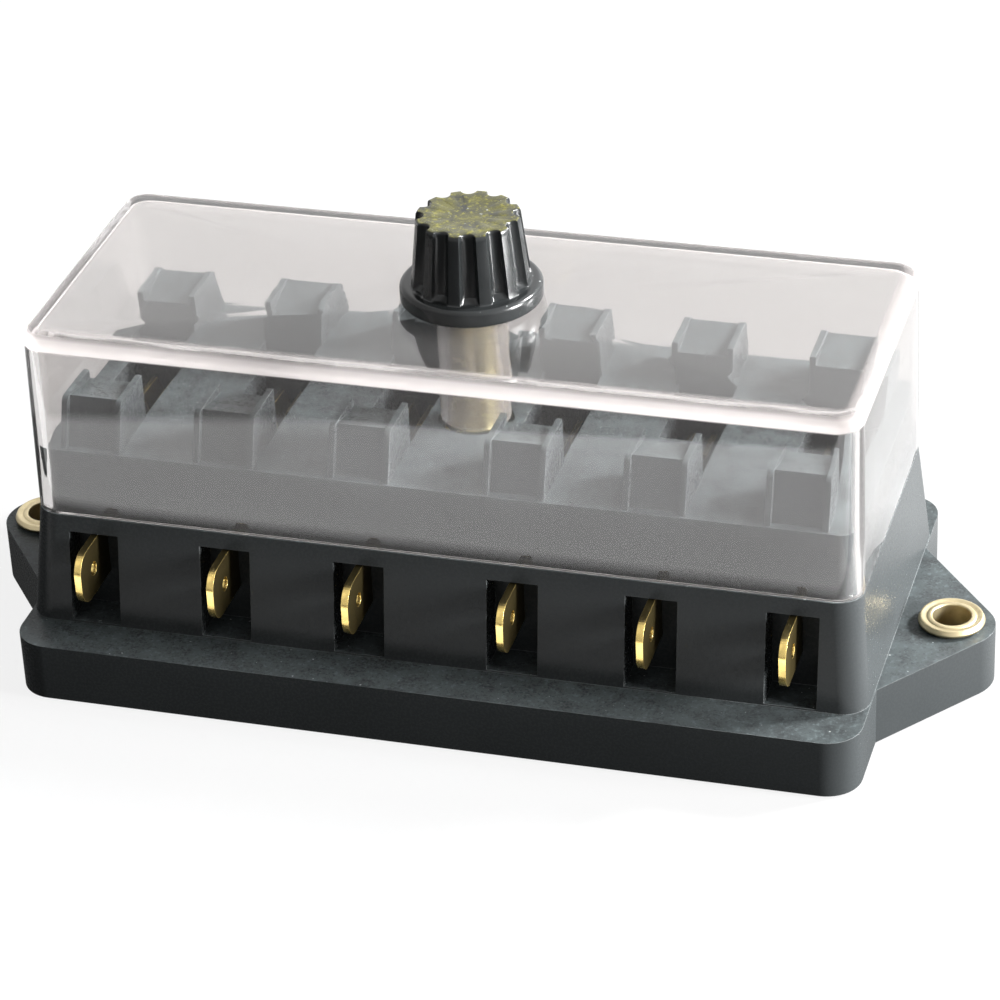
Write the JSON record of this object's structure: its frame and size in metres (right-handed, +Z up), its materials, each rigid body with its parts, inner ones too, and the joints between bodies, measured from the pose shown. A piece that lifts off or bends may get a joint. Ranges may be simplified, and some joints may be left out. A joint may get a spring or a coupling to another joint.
{
  "type": "blade fuse block",
  "caption": "Fuse block with a black moulded base, brass tab terminals, mounting eyelets and a clear box cover held by one fluted screw knob.",
  "frame": {"origin": "middle of the base's underside", "axes": "+X along the row of fuses to the right lug, +Y to the rear terminals, +Z up through the cover and the knob"},
  "size_m": [0.1178, 0.0524, 0.0529],
  "materials": {
    "black_plastic": "fine satin moulding",
    "clear_plastic": "clear and polished",
    "terminal_brass": "rolled strip",
    "eyelet_brass": "pale rolled brass",
    "screw_brass": "turned"
  },
  "bodies": {
    "base": {"base_housing": "black_plastic", "front_terminal_1": "terminal_brass", "front_terminal_2": "terminal_brass", "front_terminal_3": "terminal_brass", "front_terminal_4": "terminal_brass", "front_terminal_5": "terminal_brass", "front_terminal_6": "terminal_brass", "rear_terminal_1": "terminal_brass", "rear_terminal_2": "terminal_brass", "rear_terminal_3": "terminal_brass", "rear_terminal_4": "terminal_brass", "rear_terminal_5": "terminal_brass", "rear_terminal_6": "terminal_brass", "left_eyelet": "eyelet_brass", "right_eyelet": "eyelet_brass", "threaded_insert": "screw_brass"},
    "cover": {"cover": "clear_plastic"},
    "knob_set": {"knob": "black_plastic", "knob_screw": "screw_brass", "retaining_ring": "screw_brass"}
  },
  "joints": [
    {"name": "cover_lift", "type": "slide", "parent": "base", "child": "cover", "axis": [0, 0, 1], "range_m": [0, 0.03]},
    {"name": "knob_turn", "type": "hinge", "parent": "cover", "child": "knob_set", "pos_m": [0, 0, 0.0429], "axis": [0, 0, 1], "continuous": true}
  ]
}
